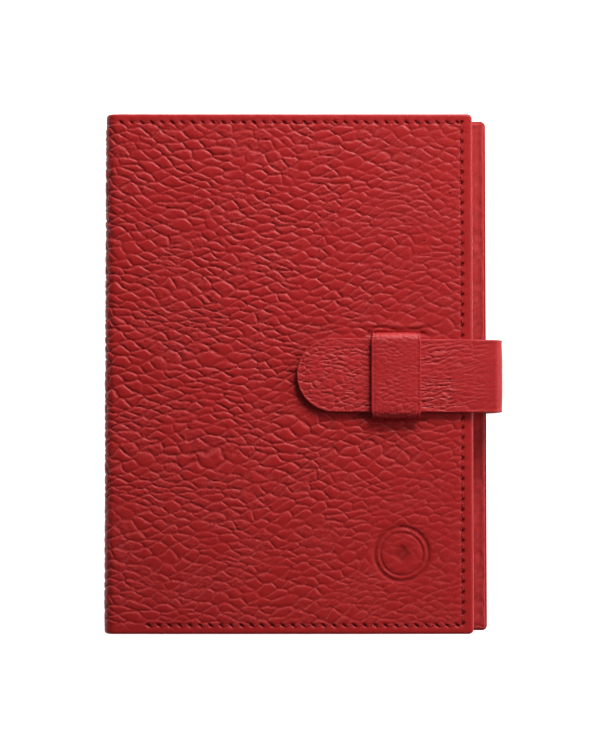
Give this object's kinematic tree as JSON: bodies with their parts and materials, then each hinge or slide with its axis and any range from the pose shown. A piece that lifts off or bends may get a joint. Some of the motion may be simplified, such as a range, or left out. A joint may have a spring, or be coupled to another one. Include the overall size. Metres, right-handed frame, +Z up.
{
  "type": "passport holder",
  "caption": "Closed leather passport holder with two stitched covers, a folded spine, inside pockets and a strap that tucks through a keeper loop.",
  "frame": {"origin": "centre of the bounding box on the plane the closed holder lies on, under its back cover", "axes": "+Z up through the closed holder's thickness, +Y along the spine to the top edge, +X from the spine to the fore edge and its strap"},
  "size_m": [0.107, 0.14, 0.0179],
  "materials": {
    "red_leather": "pebbled grain, satin",
    "strap_leather": "fine grain, satin",
    "lining_leather": "smooth, matt",
    "board": "pressed fibre board",
    "thread": "waxed thread"
  },
  "bodies": {
    "back_cover": {"outer_leather_back": "red_leather", "board_back": "board", "lining_back": "lining_leather", "passport_pocket": "lining_leather", "strap_anchor": "red_leather", "back_needle_thread": "thread", "back_bobbin_thread": "thread"},
    "spine": {"outer_leather_spine": "red_leather", "back_fold": "red_leather", "front_fold": "red_leather", "board_spine": "board", "lining_spine": "lining_leather"},
    "front_cover": {"outer_leather_front": "red_leather", "board_front": "board", "lining_front": "lining_leather", "slip_pocket": "lining_leather", "card_pocket_upper": "lining_leather", "card_pocket_middle": "lining_leather", "card_pocket_lower": "lining_leather", "card_pocket_thread": "thread", "keeper_loop": "strap_leather", "front_needle_thread": "thread", "front_bobbin_thread": "thread"},
    "strap_side": {"strap_lower_bend": "strap_leather", "strap_side": "strap_leather", "strap_side_backing": "lining_leather"},
    "strap_tongue": {"strap_upper_bend": "strap_leather", "strap_tongue": "strap_leather", "strap_tongue_backing": "lining_leather"}
  },
  "joints": [
    {"name": "back_fold_hinge", "type": "hinge", "parent": "back_cover", "child": "spine", "pos_m": [-0.05238, 0, 0.00112], "axis": [0, -1, 0], "range_deg": [0, 90], "deforming": ["back_fold", "lining_spine"]},
    {"name": "front_fold_hinge", "type": "hinge", "parent": "spine", "child": "front_cover", "pos_m": [-0.05238, 0, 0.01388], "axis": [0, -1, 0], "range_deg": [0, 90], "deforming": ["front_fold"]},
    {"name": "strap_lower_bend_hinge", "type": "hinge", "parent": "back_cover", "child": "strap_side", "pos_m": [0.05234, -0.001, 0.00236], "axis": [0, 1, 0], "range_deg": [0, 90], "deforming": ["strap_lower_bend"]},
    {"name": "strap_upper_bend_hinge", "type": "hinge", "parent": "strap_side", "child": "strap_tongue", "pos_m": [0.05234, -0.001, 0.01549], "axis": [0, 1, 0], "range_deg": [0, 90], "deforming": ["strap_upper_bend", "strap_tongue", "strap_tongue_backing"]}
  ],
  "couplings": [
    {"joint": "front_fold_hinge", "follows": "back_fold_hinge", "ratio": 1},
    {"joint": "strap_upper_bend_hinge", "follows": "strap_lower_bend_hinge", "ratio": 1}
  ]
}
